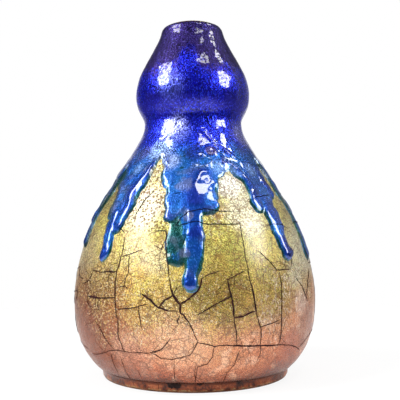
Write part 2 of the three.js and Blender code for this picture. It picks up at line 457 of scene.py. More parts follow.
# The rose-brown coat outside the ring thins to bare metal at the bottom and pools dark at the
# seam under the belly.
def foot_enamel():
    finish = Finish("foot_enamel", Coat_Roughness=0.2, Coat_IOR=1.5, IOR=1.25)
    cloud = finish.noise(0.16, detail=5.0, distortion=0.6)
    grain = finish.noise(0.9, detail=4.0, roughness=0.65).ease(0.3, 0.7)
    colour = (cloud + (grain - 0.5) * 0.22).ramp(
        (0.32, (0.045, 0.01, 0.004)),
        (0.46, (0.17, 0.034, 0.009)),
        (0.58, (0.3, 0.07, 0.019)),
        (0.72, (0.46, 0.15, 0.058)),
    )
    seam = (finish.height + (cloud - 0.5) * 4.0 + (grain - 0.5) * 0.8).ease(3.6, 4.9)
    colour = (seam * 0.85).mix(colour, (0.06, 0.012, 0.005))
    worn = 1 - (finish.height + (grain - 0.5) * 1.2).ease(0.95, 1.7)
    colour = (worn * cloud.ease(0.4, 0.52) * 0.8).mix(colour, (0.4, 0.27, 0.12))
    glaze = (1 - worn * 0.6) * (1 - seam * 0.4)
    coat_reach = 54
    # Chips down to the metal, as (angle, height, size).
    chips = [(-13, 4.1, 3.0), (-10, 4.3, 3.3), (2.5, 4.4, 1.9), (3.0, 2.2, 1.2), (24, 4.1, 2.0)]
    for angle, height, size in chips:
        turn = math.radians(angle)
        centre = (coat_reach * math.sin(turn), -coat_reach * math.cos(turn), height)
        spot = finish.near(centre, size)
        chip = (spot + (grain - 0.5) * 0.7).ease(0.4, 0.6)
        colour = chip.mix(colour, (0.018, 0.007, 0.006))
        glaze = glaze * (1 - chip * 0.8)
    finish.set("Base Color", colour)
    finish.set("Coat Weight", glaze * 0.6)
    finish.set("Metallic", grain * 0.4 + 0.25)
    finish.set("Roughness", grain * 0.4 + 0.25)
    finish.bump(grain + cloud * 2, 0.15)
    return finish.material


coat_under = ring_out + layer_gap
coat_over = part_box("foot_coat")[1].x / MM
coat_shoulder = 4.2
seam_height = coat_low - 0.02
foot_profile = [
    (coat_under, 0.9),
    *quarter(coat_over - 0.75, 1.3, 0.4, 270, 350, 4),
    (coat_over - 0.28, 2.4),
    (coat_over - 0.12, 3.4),
    (coat_over, coat_shoulder),
    (float(wall_radius(coat_low)) - 0.12, seam_height),
    (coat_under, seam_height),
]
turned_piece("rose_foot_coat", foot_profile, 224, foot_enamel(), "rose_enamel", "foot_coat")

# Gold and rose ground coat
# Clear glass stained rose at the foot and gold above, over crumpled leaf laid on the copper.
# The leaf's creases glitter through the smooth face of the glass.


def on_wall(angle, z, out):
    """The place in metres that lies a distance out from the coat's face."""
    across, up = wall_normal(z)
    radius = wall_radius(z) + out * across
    turn = math.radians(angle)
    return Vector((radius * math.sin(turn), -radius * math.cos(turn), z + out * up)) * MM


def stains_and_painted_light(finish, colour, places, out, ragged, low, high, fade=1.0):
    """The colour with stained places and painted highlights on it, each (angle, height, size, share,
    colour).
    """
    for angle, z, size, share, tint in places:
        spot = finish.near(tuple(on_wall(angle, z, out) / MM), size, 0.1) + ragged
        colour = (spot.ease(low, high) * (fade * share)).mix(colour, tint)
    return colour


# The whole vase's height and the belly's half width, which levels and flanks are shares of.
whole_height = 200
belly_reach = 68

# Burnt, rubbed and pale places on the leaf, with painted highlights and sheen among them,
# as (angle, height, size, share, colour).
leaf_stains_and_highlights = [
    (-5, 27, 26, 0.5, (0.8, 0.46, 0.27)),
    (-30, 22, 18, 0.35, (0.8, 0.45, 0.3)),
    (12, 51, 27, 0.92, (0.21, 0.13, 0.028)),
    (36, 47, 25, 0.65, (0.22, 0.14, 0.038)),
    (-46, 60, 23, 0.7, (0.18, 0.12, 0.052)),
    (-45, 52, 14, 0.45, (0.17, 0.07, 0.026)),
    (-1, 50, 12, 0.45, (0.2, 0.135, 0.045)),
    (-28, 11, 17, 0.45, (0.34, 0.09, 0.038)),
    (0, 11, 12, 0.3, (0.34, 0.09, 0.038)),
    (20, 71, 22, 0.4, (0.26, 0.27, 0.05)),
    (60, 30, 22, 0.6, (0.25, 0.1, 0.065)),
    (47, 22, 14, 0.65, (0.36, 0.1, 0.058)),
    (50, 57, 11, 0.5, (0.6, 0.57, 0.47)),
    (54, 44, 12, 0.5, (0.48, 0.37, 0.33)),
    (-45, 47, 17, 0.5, (0.16, 0.065, 0.025)),
    (-50, 33, 15, 0.45, (0.22, 0.06, 0.026)),
    (-59, 98, 17, 0.8, (0.17, 0.17, 0.085)),
    # Painted highlights where the lamps glow on the gold, and painted sheen of the white sweep on its
    # flanks.
    (22, 103, 14, 0.9, (1.0, 0.99, 0.92)),
    (62, 70, 24, 0.45, (0.74, 0.72, 0.58)),
    (-62, 70, 22, 0.45, (0.46, 0.45, 0.34)),
    (27, 89, 20, 0.65, (0.95, 0.92, 0.76)),
    (-28, 92, 20, 0.6, (0.92, 0.88, 0.68)),
    (-17, 66, 13, 0.28, (0.95, 0.9, 0.8)),
]


def leaf_glitter(finish, colour, level, left, right):
    """The colour with painted glints on the leaf's folds, flecks and lumps, and the relief that they add.
    """
    # Painted highlights: short folds of the leaf catch the light low on the gold.
    fold = finish.noise(0.55, distortion=1.2) - 0.5
    fold = (1 - fold.math("ABSOLUTE").ease(0.008, 0.03)) * finish.noise(0.9, detail=1.0).ease(0.5, 0.58)
    fold = fold * level.band(0.08, 0.18, 0.3, 0.42)
    fold = fold * (1 - right.ease(-0.1, 0.4) * 0.7)
    colour = fold.mix(colour, (1.0, 0.9, 0.62))
    # Painted glints in flecks on the left, and painted highlights on bright lumps of the gold between the
    # runs.
    fleck = finish.noise(0.8, distortion=1.0).ease(0.55, 0.62) * left.ease(0.0, 0.3)
    fleck = fleck * level.band(0.13, 0.18, 0.3, 0.38) * 0.7
    colour = fleck.mix(colour, (0.8, 0.56, 0.2))
    glint = finish.noise(1.2, detail=1.0, distortion=0.6).ease(0.6, 0.67) * left.ease(-0.25, 0.2)
    glint = glint * level.band(0.16, 0.22, 0.36, 0.46) * 0.5
    colour = glint.mix(colour, (1.0, 0.9, 0.5))
    lump = finish.noise(0.75, distortion=0.8).ease(0.54, 0.62) * level.ease(0.4, 0.48) * 0.7
    colour = lump.mix(colour, (1.0, 0.97, 0.82))
    return colour, fold * 0.6 + lump * 0.6


def leaf_enamel():
    finish = Finish("leaf_enamel", Coat_Roughness=0.24, Coat_IOR=1.55, IOR=1.3)
    mottle = finish.noise(0.045, detail=4.0, distortion=0.4)
    patch = finish.noise(0.16, detail=3.0, distortion=0.3)
    grain = finish.noise(1.1, detail=3.0, roughness=0.65).ease(0.3, 0.7)
    fine = finish.noise(2.2).ease(0.32, 0.68)
    crease = finish.crumple(1.1)
    left = finish.place.part(0) * (-1 / belly_reach)
    right = left * -1
    front = finish.place.part(1) * (-1 / belly_reach)
    # How high a place is, as a share of the whole: ragged, and higher at the front.
    level = finish.height + (mottle - 0.5) * 40 + (grain - 0.5) * 14
    level = (level + front.ease(0.45, 1.0) * 14 - 9) * (1 / whole_height)
    colour = level.ramp(
        (0.00, (0.18, 0.04, 0.015)),
        (0.05, (0.39, 0.094, 0.029)),
        (0.12, (0.57, 0.215, 0.095)),
        (0.17, (0.5, 0.21, 0.085)),
        (0.22, (0.46, 0.26, 0.072)),
        (0.3, (0.54, 0.4, 0.09)),
        (0.42, (0.57, 0.51, 0.13)),
        (0.55, (0.66, 0.6, 0.21)),
    )
    gold = level.ease(0.17, 0.26)
    tarnish = patch.ease(0.42, 0.66) * gold * left.fade(0.0, 0.5) * 0.6
    colour = tarnish.mix(colour, (0.24, 0.27, 0.065))
    warm = finish.noise(0.11).ease(0.48, 0.66) * gold * (0.6 - right.ease(0.1, 0.5) * 0.4)
    colour = warm.mix(colour, (0.56, 0.28, 0.055))
    bright = finish.noise(0.13, detail=3.0, distortion=0.5).ease(0.5, 0.68) * (1 - gold) * 0.5
    colour = bright.mix(colour, (0.86, 0.54, 0.35))
    # Fired browner on the left flank. The right flank is painted greyer, a painted sheen of the white
    # sweep.
    flank = left.ease(0.2, 0.72) * level.fade(0.24, 0.31) * 0.85
    colour = flank.mix(colour, (0.205, 0.048, 0.013))
    painted_sheen_right = right.ease(0.5, 0.85) * level.ease(0.19, 0.27) * 0.6
    colour = painted_sheen_right.mix(colour, (0.4, 0.38, 0.27))
    colour = stains_and_painted_light(finish, colour, leaf_stains_and_highlights, 0.0, (patch - 0.5) * 0.5, 0.05, 0.95)
    # Single grains of the leaf show greener or redder than the rest.
    green_grain = finish.noise(1.5, detail=1.0).ease(0.52, 0.6) * gold * 0.3
    colour = green_grain.mix(colour, (0.4, 0.5, 0.06))
    red_grain = finish.noise(1.7, detail=1.0, distortion=0.3).ease(0.54, 0.62) * gold * 0.3
    colour = red_grain.mix(colour, (0.78, 0.43, 0.1))
    sparkle = (crease * 0.25 + grain * 0.45 + fine * 0.55).math("POWER", 1.5) * 1.65 + 0.2
    sparkle = 1 + (sparkle - 1) * (gold * 0.22 + 0.32) * (1 - right.ease(0.1, 0.7) * (0.75 - gold * 0.3))
    colour = colour.vector("SCALE", scale=sparkle)
    stain = finish.height + (mottle - 0.5) * 3
    colour = (stain.fade(5.4, 7.2) * 0.7).mix(colour, (0.11, 0.024, 0.01))
    colour, glitter = leaf_glitter(finish, colour, level, left, right)
    pit = finish.noise(0.9, distortion=0.5).ease(0.6, 0.66)
    pit = pit * right.ease(-0.1, 0.2) * level.ease(0.33, 0.42)
    colour = (pit * 0.55).mix(colour, (0.2, 0.15, 0.035))
    craze = finish.craze(0.3, 0.1) * patch.ease(0.36, 0.56) * 0.6
    colour = craze.mix(colour, (0.15, 0.045, 0.02))
    pinhole = finish.dots(0.64, 0.7) * gold * (level.ease(0.33, 0.46) * 0.7 + 0.2)
    pinhole = pinhole * (1 - right.ease(0.0, 0.3) * 0.3)
    finish.set("Metallic", (grain * 0.3 + 0.5) * (1 - pinhole))
    finish.set("Roughness", fine * 0.2 + 0.2)
    # The flanks low down are rubbed, so they shine less.
    rubbed = (left.ease(0.5, 0.85) + right.ease(0.5, 0.85)) * level.fade(0.2, 0.32)
    finish.set("Coat Weight", (1 - pinhole) * (0.7 - flank * 0.45) * (1 - rubbed * 0.6))
    # Low on the right the leaf lies in long soft folds, each with a painted pale highlight along it.
    drape = finish.noise(0.16, detail=1.0, distortion=2.5, stretch=(1, 1, 0.4)) - 0.5
    drape = (1 - drape.math("ABSOLUTE").ease(0.0, 0.035)) * right.ease(0.35, 0.6) * level.ease(0.11, 0.16)
    drape = drape * level.fade(0.26, 0.34) * 0.55
    colour = drape.mix(colour, (0.92, 0.8, 0.7))
    finish.set("Base Color", pinhole.mix(colour, (0.15, 0.07, 0.008)))
    relief = crease * 0.4 + grain + fine * 0.25 + glitter
    finish.bump(relief - craze * 0.6 - pinhole * 0.6, 0.15)
    return finish.material


# Rows stand closest at the seam, and far apart where the flood hides the coat.
seam_rows = rows_between(coat_low, coat_low + 3.0, 0.8)
open_rows = rows_between(coat_low + 3.8, 127, 1.6)
hidden_rows = rows_between(131, coat_high, 5.0)
ground_rows = seam_rows + open_rows + hidden_rows
ground_profile = [
    *offset(ground_rows, 0.0),
    *reversed(offset(rows_between(coat_low, coat_high, 8.0), -coat_thickness)),
]
ground_mesh = spin_profile("leaf_ground_coat", ground_profile, 288)


def wall_places(mesh):
    """Each vertex's radius, angle on the wall and height, in millimetres and degrees."""
    flat = np.empty(len(mesh.vertices) * 3)
    mesh.vertices.foreach_get("co", flat)
    x, y, z = flat.reshape(-1, 3).T / MM
    return np.hypot(x, y), np.degrees(np.arctan2(x, -y)), z


def set_wall_places(mesh, radius, angle, z):
    turn = np.radians(angle)
    places = np.stack([radius * np.sin(turn), -radius * np.cos(turn), z], axis=1) * MM
    mesh.vertices.foreach_set("co", places.ravel())
    mesh.update()


def wander(angle, z, size, reach, seed=0):
    """A smooth random push in millimetres, which keeps a face or an edge from being true."""
    turn = np.radians(angle)
    return np.array([
        reach * noise.noise(Vector((r * math.sin(a) + seed, r * math.cos(a), h)) / size)
        for r, a, h in zip(wall_radius(z), turn, z)
    ])


def ground_face(angle, z):
    """How far the coat stands out from its true wall: glass pulls into soft waves as it melts."""
    return wander(angle, z, 9.0, 0.16) + wander(angle, z, 3.5, 0.06) - 0.1


ground_radius, ground_angle, ground_z = wall_places(ground_mesh)
outer = ground_radius > wall_radius(ground_z) - coat_thickness / 2
wave = ground_face(ground_angle, ground_z)
ground_radius = ground_radius + np.where(outer & (ground_z > coat_low + 1), wave, 0)
set_wall_places(ground_mesh, ground_radius, ground_angle, ground_z)
add_piece("leaf_ground_coat", ground_mesh, leaf_enamel(), "foil_enamel", "gold_rose_coat")

# Cobalt glass
# One glass, flooded on from the mouth and melted until it broke into runs. Its depth over the
# ground is worked out everywhere, and the mesh sinks under the ground where there is none.
flood_depth = 0.85
flood_edge = [
    (-61, 119), (-57, 111), (-45, 104), (-35, 108), (-31, 113), (-25, 118), (-21, 114.5),
    (-18, 104), (-15.6, 101), (-14.4, 92), (-13, 85), (-9, 84), (-4, 88), (4, 94), (12, 101),
    (18, 107), (22, 110.5), (27, 112), (33, 110), (40, 101), (48, 100),
    (55, 108), (61, 120), (65, 114), (70, 106), (76, 109), (86, 119),
    (96, 108), (106, 103), (116, 110), (124, 118), (133, 108), (142, 102), (152, 109),
    (161, 119), (171, 107), (181, 100), (190, 107), (200, 117), (209, 108), (218, 103),
    (228, 110), (238, 118.5), (248, 108), (256, 103), (266, 110), (277, 119), (286, 110),
    (292, 107), (299, 119),
]

# Runs of the front as they are in the photograph: lists of (angle, height, half width, depth).
runs = [
    [(-66, 113, 5, 0.8), (-67, 102, 4.6, 0.75), (-70, 94, 5.2, 0.55)],
    [(-70.5, 91, 3.6, 0.9), (-70.4, 75.5, 4.3, 1.5)],
    [(-56, 112, 5, 0.8), (-55.5, 105.4, 4.2, 0.75)],
    [(-50, 106, 5, 0.8), (-49.8, 96, 3.6, 0.6), (-51, 89.5, 3.3, 0.4)],
    [(-45, 106, 6.5, 0.9), (-44.8, 92, 5.2, 0.9), (-45.8, 84, 4.7, 1), (-45.8, 77, 4.4, 1.1),
     (-44.4, 68.8, 3.9, 1.6)],
    [(-46.8, 82, 2.6, 1.2), (-47, 78.4, 2.5, 1.5)],
    [(-41, 102, 4, 0.9), (-40.4, 85, 2.4, 0.8)],
    [(-36, 110, 5.4, 0.8), (-35.6, 104, 4.2, 1.2), (-37.6, 94, 3.7, 0.7), (-39.6, 84, 3, 1.4),
     (-40.6, 79.5, 1.2, 1.2)],
    [(-16.5, 110, 4, 0.8), (-16.2, 103.6, 3.2, 1)],
    [(-11, 106, 5, 0.6), (-11, 97, 4.2, 0.6), (-11, 91, 4, 1), (-11.4, 86.2, 3.4, 1.3)],
    [(-5, 102, 4, 0.8), (-4.6, 86, 3, 0.8), (-4.2, 76, 2.2, 0.7)],
    [(-9, 84, 2.8, 0.34), (-8.8, 75, 4.3, 0.38), (-8, 67.4, 4.8, 0.75)],
    [(3, 110, 8, 0.8), (2, 98, 6, 0.9), (1, 88, 5, 1.2), (0.6, 78, 4.8, 1.4),
     (0, 70, 4.6, 0.9), (-0.6, 63, 4.4, 0.9), (-1.5, 54.8, 4.5, 1.7)],
    [(7.6, 108, 5.6, 0.8), (7.6, 99, 5.6, 0.9), (7.6, 93.4, 5.6, 1.4)],
    [(28.5, 113, 3.2, 1.2), (34.8, 107, 3.2, 1.4), (37.4, 98, 3.4, 1.5), (37.4, 92.4, 3.8, 1.2)],
    [(44, 112, 8, 1), (44, 100, 6.6, 1.1), (44.4, 90, 5.6, 1.2), (45, 82, 4.9, 1.3),
     (45.4, 76, 3.9, 1.5), (47, 68.6, 4, 2.1)],
    [(52, 112, 5, 1.1), (52.8, 104, 4, 1.5), (53, 100.2, 3.9, 1.7)],
    [(68, 114, 5, 1), (68.5, 106, 4.2, 1.2), (69, 98, 4.6, 0.65)],
    [(70.5, 94, 3, 0.8), (70.4, 82, 3.9, 1), (71, 67.6, 4.7, 1.5)],
]

# Lumps where the flood gathered above the shoulder.
runs += [
    [(14, 122.6, 3.6, 1.7), (14.8, 120.6, 3.6, 1.7)],
    [(10, 134, 1.7, 1.35), (16.2, 128, 1.8, 1.45)],
    [(20.5, 127, 1.5, 1.35), (27, 123.2, 1.6, 1.5), (33.5, 119, 1.6, 1.4)],
    [(23, 119, 1.6, 1.3), (22.6, 114.5, 1.7, 1.45), (26, 114.5, 1.5, 1.4), (31.5, 111, 1.6, 1.4)],
    [(-30.5, 117, 2, 1.3), (-30, 113.6, 1.9, 1.4)],
    [(-19, 117.5, 1.8, 1.3), (-18.6, 111.5, 1.8, 1.35)],
]


# Behind, each curtain has a long run between two shorter ones.
def rear_runs(middle, long_drop, lean):
    low = 120 - long_drop
    side = 120 - long_drop * 0.52 + 3.8
    other = 120 - long_drop * 0.64 + 4.5
    return [
        [(middle - 9, 114, 6, 1), (middle - 12, side + 9, 3.5, 1.2), (middle - 12, side, 3.9, 1.7)],
        [(middle, 114, 9, 1), (middle + lean * 0.4, (low + 112) / 2, 4.8, 1.2),
         (middle + lean, low + 14, 4, 1.4), (middle + lean, low + 4.6, 4.6, 2.1)],
        [(middle + 9, 114, 6, 1), (middle + 12 + lean / 2, other + 12, 3.9, 1.2),
         (middle + 12 + lean / 2, other, 4.4, 1.8)],
        [(middle + 3, 104, 5, 1.4), (middle + 5, 97, 4.4, 1.7)],
    ]


for rear in ((104, 60, 2), (142, 50, -2), (180, 68, 1), (218, 46, -1), (256, 56, 1)):
    runs += rear_runs(*rear)
runs += [[(284, 114, 6, 1), (291, 112, 5, 1)], [(300, 121, 3, 1.1), (304, 114, 3, 1.2)]]


def turn_between(angle, other):
    """How far angle is from other, the short way round."""
    return (angle - other + 180) % 360 - 180


def edge_height(angle):
    angles = np.array([a for a, _ in flood_edge])
    heights = np.array([h for _, h in flood_edge])
    ahead = np.concatenate([angles[-1:] - 360, angles, angles[:1] + 360])
    high = np.concatenate([heights[-1:], heights, heights[:1]])
    angle = (angle - angles[0]) % 360 + angles[0]
    row = np.clip(np.searchsorted(ahead, angle) - 1, 0, len(ahead) - 2)
    t = (angle - ahead[row]) / (ahead[row + 1] - ahead[row])
    t = t * t * (3 - 2 * t)
    return high[row] * (1 - t) + high[row + 1] * t


def rounded(inside, shoulder, depth, bead=0.0):
    """Glass this far inside its own edge: it rises steeply to a bead, and flattens at its full depth."""
    share = np.clip(inside / shoulder, 0, 1)
    full = depth * (1 - (1 - share) ** 2 + bead * share * np.exp(-((inside - 2.0) / 1.1) ** 2))
    return np.where(inside > 0, full, np.maximum(inside * 0.9, -1.2))


def melt_together(one, other, softness=0.7):
    near = np.maximum(softness - np.abs(one - other), 0)
    return np.maximum(one, other) + near * near / (4 * softness)


# Where runs melted into one sheet, it thickens to a ridge: (angle, height) along the ridge, its
# depth, and how much it thins in a millimetre to the left and to the right.
ridges = [
    ([(1.5, 93), (1.5, 103), (3, 106.5), (5.5, 109.5)], 1.8, 0.12, 0.12),
    ([(-38.0, 82), (-36.9, 93), (-38, 99), (-36, 103.5), (-33, 108), (-30, 114)], 1.7, 0.2, 0.4),
    ([(-45.2, 69), (-43.6, 75.5), (-42.8, 81), (-43.4, 89)], 1.6, 0.24, 0.45),
]


def round_wall(angle, other, z):
    """The distance round the wall at a height, from one angle to another."""
    return turn_between(angle, other) * np.radians(1) * wall_radius(z)


def ridge_depth(angle, z, line, height, left, right):
    angles, heights = np.array(line).T
    along = round_wall(angle, np.interp(z, heights, angles), z)
    slab = height - (right - left) / 2 * along - (right + left) / 2 * (np.hypot(along, 0.6) - 0.6)
    past = np.maximum(heights[0] - z, 0) + np.maximum(z - heights[-1], 0)
    return slab - 0.15 * past ** 2


# Bubbles that burst late left a ring round a pit: (angle, height, radius, rise).
craters = [(14.3, 121.6, 2.9, 0.3), (8.4, 105.0, 1.3, 0.13), (24, 116, 1.5, 0.2), (-40.5, 92, 1.4, 0.15)]


def crater_depth(angle, z, middle, height, radius, rise):
    out = np.hypot(round_wall(angle, middle, z), climb(z) - climb(height)) / radius
    return rise * (np.exp(-((out - 1) / 0.35) ** 2) - 0.8 * np.exp(-(out / 0.5) ** 2))


def glass_depth(angle, z):
    """Millimetres of cobalt glass over the ground, below nothing where there is none."""
    per_degree = np.radians(1) * wall_radius(z)
    up = climb(z) + wander(angle, z, 7, 1.6, 40) + wander(angle, z, 2.6, 0.5, 80)
    angle = angle + (wander(angle, z, 7, 2) + wander(angle, z, 2.6, 0.6, 20)) / per_degree
    depth = rounded((up - climb(edge_height(angle))) * 0.7, 2.6, flood_depth, 0.2)
    # A run's shoulder is softest on both flanks.
    flank = np.clip(1 - abs(abs(angle) - 67) / 14, 0, 0.6) / 0.6
    shoulder = 2.6 + wander(angle, z, 6, 2.6, 120) + 3.5 * flank
    for run in runs:
        for (a0, z0, w0, d0), (a1, z1, w1, d1) in zip(run, run[1:]):
            px, py = turn_between(angle, a0) * per_degree, up - climb(z0)
            bx, by = (a1 - a0) * per_degree, climb(z1) - climb(z0)
            t = np.clip((px * bx + py * by) / np.maximum(bx * bx + by * by, 1e-9), 0, 1)
            width, deep = w0 + (w1 - w0) * t, d0 + (d1 - d0) * t
            inside = width - np.hypot(px - t * bx, py - t * by)
            bead = 0.35 * np.clip((width - 4.0) / 2, 0, 1) * np.clip((-20 - angle) / 10, 0, 1)
            depth = melt_together(depth, rounded(inside, np.minimum(width, shoulder), deep, bead))
    for ridge in ridges:
        slab = ridge_depth(angle, z, *ridge) * np.clip(depth / 0.5, 0, 1)
        depth = np.where(depth > 0, np.maximum(depth, melt_together(depth, slab, 0.4)), depth)
    for crater in craters:
        depth = np.where(depth > 0.3, depth + crater_depth(angle, z, *crater), depth)
    return np.maximum(depth, -0.42)


def glass_face(angle, z):
    """The glass's depth with its face's soft waves: orange peel high up, and smooth in the runs."""
    depth = glass_depth(angle, z)
    fine_wave = 0.05 + 0.05 * np.clip((z - 108) / 12, 0, 1) - 0.02 * np.clip((z - 172) / 8, 0, 1)
    broad_wave = 0.22 - 0.14 * np.clip((z - 166) / 8, 0, 1)
    wobble = wander(angle, z, 6.0, 1.0) * broad_wave + wander(angle, z, 2.2, 1.0) * fine_wave
    wobble = wobble * np.clip(depth, 0, 1) * np.clip(1.9 - depth, 0.2, 1)
    return np.where(depth > 0, np.maximum(depth + wobble, 0.02), depth)


# Azure, deep and green places in the runs, and milky painted sheen, as (angle, height, size, colour).
azure, milky_sheen, deep_blue = (0.015, 0.15, 0.56), (0.12, 0.15, 0.29), (0.002, 0.018, 0.28)
green = (0.002, 0.08, 0.085)
run_stains_and_sheen = [
    (-16, 104, 5, azure), (9, 95, 5, azure), (-10, 90, 4, azure), (44, 80, 6, azure),
    (-44, 76, 5, azure), (-38, 86, 4, azure), (-46, 98, 4, azure), (-51, 91, 4, green),
    (-6, 103, 6, milky_sheen), (-3, 87, 4, milky_sheen), (-3.5, 69, 3.5, milky_sheen), (-49, 92, 5, milky_sheen),
    (46, 100, 6, azure), (1, 96, 6, deep_blue), (1, 79, 5, deep_blue), (-38, 101, 4, deep_blue),
    (53, 104, 5, deep_blue),
]

# The flood's pale places are painted highlights and painted reflections of the lamps and the white
# sweep; the navy ones make it deep blue. Places are (angle, height, size, share, colour).
ice, sky_blue, navy = (0.17, 0.31, 0.66), (0.16, 0.2, 0.72), (0.003, 0.004, 0.19)
flood_tints_and_highlights = [
    (-28, 123, 12, 0.65, (0.23, 0.32, 0.52)), (-17, 116, 9, 0.65, (0.26, 0.33, 0.58)),
    (-31, 112, 6, 0.6, (0.45, 0.45, 0.34)), (-46, 122, 9, 0.5, (0.09, 0.095, 0.22)),
    (-43, 113, 6, 0.6, ice), (18, 112, 8, 0.55, ice), (44, 112, 7, 0.6, ice),
    (26, 113, 7, 0.5, ice), (-18, 134, 13, 0.6, sky_blue), (-18, 138, 9, 0.45, (0.4, 0.43, 0.9)),
    (-22, 159, 14, 0.35, sky_blue), (61, 132, 12, 0.75, (0.24, 0.25, 0.62)),
    (-64, 121, 10, 0.45, (0.17, 0.18, 0.48)),
    (30, 111, 7, 0.55, ice), (61, 111, 7, 0.55, (0.3, 0.33, 0.42)), (1, 120, 9, 0.7, navy),
    (49, 156, 17, 0.6, navy), (-50, 160, 15, 0.45, navy), (47, 143, 9, 0.5, navy),
]


def cobalt_enamel():
    finish = Finish("cobalt_enamel", Coat_Roughness=0.05, Coat_IOR=1.65, IOR=1.3)
    depth = finish.start.node("ShaderNodeAttribute", output=2, attribute_name="depth")
    mottle = finish.noise(0.075, detail=3.0, distortion=0.5)
    patch = finish.noise(0.22, detail=3.0, distortion=0.3)
    grain = finish.noise(0.85, detail=3.0, roughness=0.65, stretch=(1, 1, 0.5)).ease(0.32, 0.68)
    fine = finish.noise(1.6, stretch=(1, 1, 0.5)).ease(0.33, 0.67)
    crease = finish.crumple(0.9)
    level = (finish.height + (mottle - 0.5) * 24) * (1 / whole_height)
    aside = finish.place.part(0)
    across = (aside + 2).math("ABSOLUTE")
    burnt = finish.height + (mottle - 0.5) * 26 + (grain - 0.5) * 8 + across.ease(2, 8) * 11
    burnt = burnt.ease(173.5, 184)
    flood = level.ramp(
        (0.58, (0.04, 0.095, 0.38)),
        (0.615, (0.014, 0.036, 0.42)),
        (0.65, (0.006, 0.014, 0.46)),
        (0.72, (0.004, 0.002, 0.38)),
        (0.86, (0.004, 0.002, 0.42)),
        (0.99, (0.005, 0.004, 0.3)),
    )
    flood = burnt.mix(flood, (0.018, 0.008, 0.092))
    flake = fine.ease(0.55, 0.85) * (1 - burnt) * level.ease(0.56, 0.64)
    flood = (flake * 0.4).mix(flood, (0.005, 0.05, 0.85))
    glass = (depth * 0.45 + (grain - 0.5) * 0.06).ramp(
        (0.02, (0.12, 0.15, 0.045)),
        (0.09, (0.006, 0.07, 0.05)),
        (0.31, (0.001, 0.07, 0.09)),
        (0.37, (0.006, 0.105, 0.39)),
        (0.56, (0.002, 0.062, 0.39)),
        (0.82, (0.001, 0.022, 0.22)),
    )
    rim = patch.ease(0.48, 0.56) * depth.fade(0.1, 0.3)
    glass = (rim * 0.6).mix(glass, (0.022, 0.19, 0.46))
    # Painted sheen: lilac-grey patches on the thinner glass stand for its soft reflection of the lamps.
    lilac_sheen = mottle.ease(0.5, 0.64) * depth.fade(1.1, 1.6) * (0.35 - aside.ease(8, 30) * 0.3)
    glass = lilac_sheen.mix(glass, (0.13, 0.15, 0.25))
    run_places = [(angle, z, size * 1.3, 0.65, tint) for angle, z, size, tint in run_stains_and_sheen]
    glass = stains_and_painted_light(finish, glass, run_places, 1.0, (patch - 0.5) * 1.8, 0.3, 0.85)
    colour = level.ease(0.57, 0.655).mix(glass, flood)
    # The painted highlights and reflections go only on the thinner glass.
    thin = depth.fade(1.0, 1.5)
    colour = stains_and_painted_light(finish, colour, flood_tints_and_highlights, 1.0, (fine - 0.5) * 0.3, 0.1, 0.9, thin)
    # In the groove under the lobe the glass is even, and painted a hazy grey-blue as a painted reflection
    # of the floor.
    groove = level.band(0.715, 0.745, 0.76, 0.785)
    colour = (groove * 0.22).mix(colour, (0.07, 0.06, 0.42))
    clear = depth.ease(1.25, 1.7) * level.ease(0.575, 0.6) * 0.7
    colour = clear.mix(colour, (0.1, 0.075, 0.16))
    sparkle = (grain * 0.35 + fine * 0.7 + crease * 0.2).math("POWER", 1.7) * 1.9 + 0.14
    sparkle = 1 + (sparkle - 1) * (level.ease(0.53, 0.62) * 0.78 + 0.22) * (1 - depth.ease(1.2, 1.6) * 0.6)
    sparkle = 1 + (sparkle - 1) * (1 - groove * 0.4)
    sparkle = sparkle * (1 - aside.ease(10, 34) * 0.25)
    # The runs on the left flank are darker, and their faces are dull.
    flank = (finish.height * 0.45 - aside).ease(83, 91) * level.fade(0.56, 0.62)
    sparkle = sparkle * (1 - flank * 0.45)
    finish.set("Base Color", colour.vector("SCALE", scale=sparkle))
    finish.set("Metallic", flake * 0.3 + burnt * 0.25 + 0.5)
    finish.set("Roughness", fine * 0.1 + burnt * 0.15 + 0.18)
    # High up, the glass is finely pitted, and it grows duller towards the mouth.
    lace = finish.noise(0.75).ease(0.42, 0.52)
    dull = depth.fade(0.85, 1.15) * level.fade(0.58, 0.64) * patch.ease(0.35, 0.6) * 0.5
    pitted = (1 - lace) * level.ease(0.6, 0.68) * depth.fade(0.95, 1.25) * (burnt * 0.2 + 0.75)
    # Under the lobe on the right it is dull too.
    below_lobe = aside.ease(12, 20) * (1 - aside.ease(26, 31) * 0.6)
    below_lobe = below_lobe * level.band(0.69, 0.72, 0.745, 0.775) * 0.85
    # The lobe's flanks are deep blue, without a milky sheen.
    lobe_side = aside.ease(24, 28) + (aside * -1).ease(21, 25)
    lobe_side = lobe_side * level.band(0.74, 0.77, 0.87, 0.9) * 0.75
    finish.set("Coat Weight", (
        (1 - pitted) * (1 - burnt * 0.5) * (1 - dull) * (1 - flank * 0.85)
        * (1 - below_lobe) * (1 - groove * 0.6) * (1 - lobe_side)
    ))
    finish.bump(crease * 0.3 + grain * 0.7 + fine * 0.6, 0.1)
    return finish.material


# Rows stand closest where the runs are. The hidden back lies inside the ground coat.
lowest_glass = 47.5
highest_glass = coat_high - 0.4
glass_back = -0.62
glass_rows = rows_between(lowest_glass, 122, 0.9) + rows_between(123.2, highest_glass, 1.25)
glass_profile = [
    *offset(glass_rows, 0.0),
    *reversed(offset(rows_between(lowest_glass, highest_glass, 9.0), glass_back)),
]
glass_mesh = spin_profile("cobalt_glass", glass_profile, 512)
glass_radius, glass_angle, glass_z = wall_places(glass_mesh)
# The mesh's columns stand closer together at the front.
closeness = 12
glass_angle = glass_angle - closeness * np.sin(np.radians(glass_angle))
face = glass_radius > wall_radius(glass_z) - 0.25
lift = glass_face(glass_angle, glass_z)
